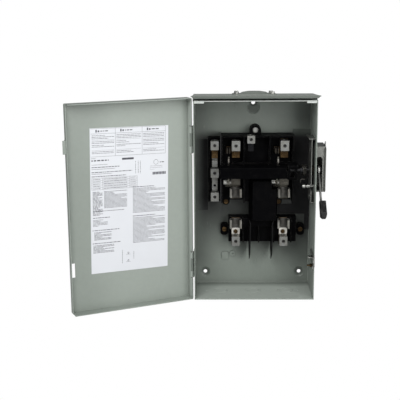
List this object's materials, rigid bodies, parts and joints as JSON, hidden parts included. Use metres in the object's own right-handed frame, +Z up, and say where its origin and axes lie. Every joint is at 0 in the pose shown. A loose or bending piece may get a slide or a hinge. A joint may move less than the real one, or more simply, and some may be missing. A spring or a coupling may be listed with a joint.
{
  "type": "safety switch enclosure",
  "caption": "Rainproof wall-mounted fusible disconnect switch: hinged door, side handle, knife blades on a crossbar, fuse clips and neutral bar in a folded steel box.",
  "frame": {"origin": "in the wall plane, behind the middle of the box: halfway across its width and halfway up its height below the rain hood", "axes": "+X to the right seen from the front, +Y into the wall, +Z up; the door opens towards -X and the handle is on the +X side"},
  "size_m": [0.4648, 0.1886, 0.3861],
  "materials": {
    "painted_shell": "grey-green polyester paint, slight orange peel",
    "painted_door": "grey-green polyester paint, slight orange peel",
    "zinc": "bright zinc plate",
    "steel": "plain steel",
    "black_steel": "black oxide",
    "brass": "dull brass",
    "tinned_copper": "tin plate on copper",
    "tarnished_copper": "dull tin plate",
    "aluminium": "extruded and sawn",
    "phenolic": "moulded phenolic, slightly glossy",
    "fibre": "hard insulating fibre sheet",
    "fibre_grey": "hard insulating fibre sheet",
    "label": "printed paper sheet, greeked",
    "grip": "dipped black plastic"
  },
  "bodies": {
    "enclosure": {"enclosure_shell": "painted_shell", "bottom_endwall": "painted_shell", "top_endwall": "painted_shell", "knockout_discs": "painted_shell", "rain_hood": "painted_shell", "hub_closing_plate": "painted_shell", "hub_plate_screws": "zinc", "box_hinge_leaves": "painted_shell", "hinge_pins": "zinc", "hasp_staple": "zinc", "hasp_screw": "brass", "left_liner": "fibre", "right_liner": "fibre", "switch_base": "phenolic", "centre_barrier": "phenolic", "load_base": "phenolic", "line_barrier": "fibre_grey", "load_barriers": "fibre", "base_screws": "brass", "base_top_screw": "zinc", "line_terminals": "brass", "line_jaws": "tinned_copper", "hinge_terminals": "tarnished_copper", "hinge_jaws": "tinned_copper", "pivot_bolts": "zinc", "upper_fuse_clips": "tinned_copper", "lower_fuse_clips": "tinned_copper", "clip_screws": "steel", "load_terminals": "brass", "pole_lugs": "aluminium", "neutral_lugs": "aluminium", "ground_lug": "aluminium", "lug_set_screws": "black_steel", "terminal_screws": "brass", "neutral_base": "phenolic", "neutral_bar": "aluminium", "neutral_tongue": "brass", "ground_strap": "tarnished_copper", "mechanism_plate": "zinc", "anchor_pin": "zinc", "shaft_bushing": "brass", "handle_guard": "zinc", "guard_rivets": "zinc", "torsion_spring": "zinc"},
    "door": {"door_pan": "painted_door", "door_hinge_leaves": "painted_door", "door_label": "label", "door_catch": "painted_door", "catch_rivets": "zinc"},
    "handle": {"handle_shaft": "zinc", "handle_lever": "zinc", "handle_grip": "grip", "shaft_nut": "zinc", "drive_crank": "black_steel", "crank_pin": "black_steel"},
    "crossbar": {"crossbar": "phenolic", "switch_blades": "tinned_copper", "blade_pins": "zinc"}
  },
  "joints": [
    {"name": "door_hinge", "type": "hinge", "parent": "enclosure", "child": "door", "pos_m": [-0.115, -0.0885, 0], "axis": [0, 0, 1], "range_deg": [-14.7, 155.3]},
    {"name": "handle_turn", "type": "hinge", "parent": "enclosure", "child": "handle", "pos_m": [0.12, -0.056, 0.0515], "axis": [-1, 0, 0], "range_deg": [0, 90]},
    {"name": "crossbar_swing", "type": "hinge", "parent": "enclosure", "child": "crossbar", "pos_m": [0, -0.038, 0.025], "axis": [-1, 0, 0], "range_deg": [0, 36]}
  ],
  "couplings": [
    {"joint": "crossbar_swing", "follows": "handle_turn", "ratio": 0.4}
  ]
}
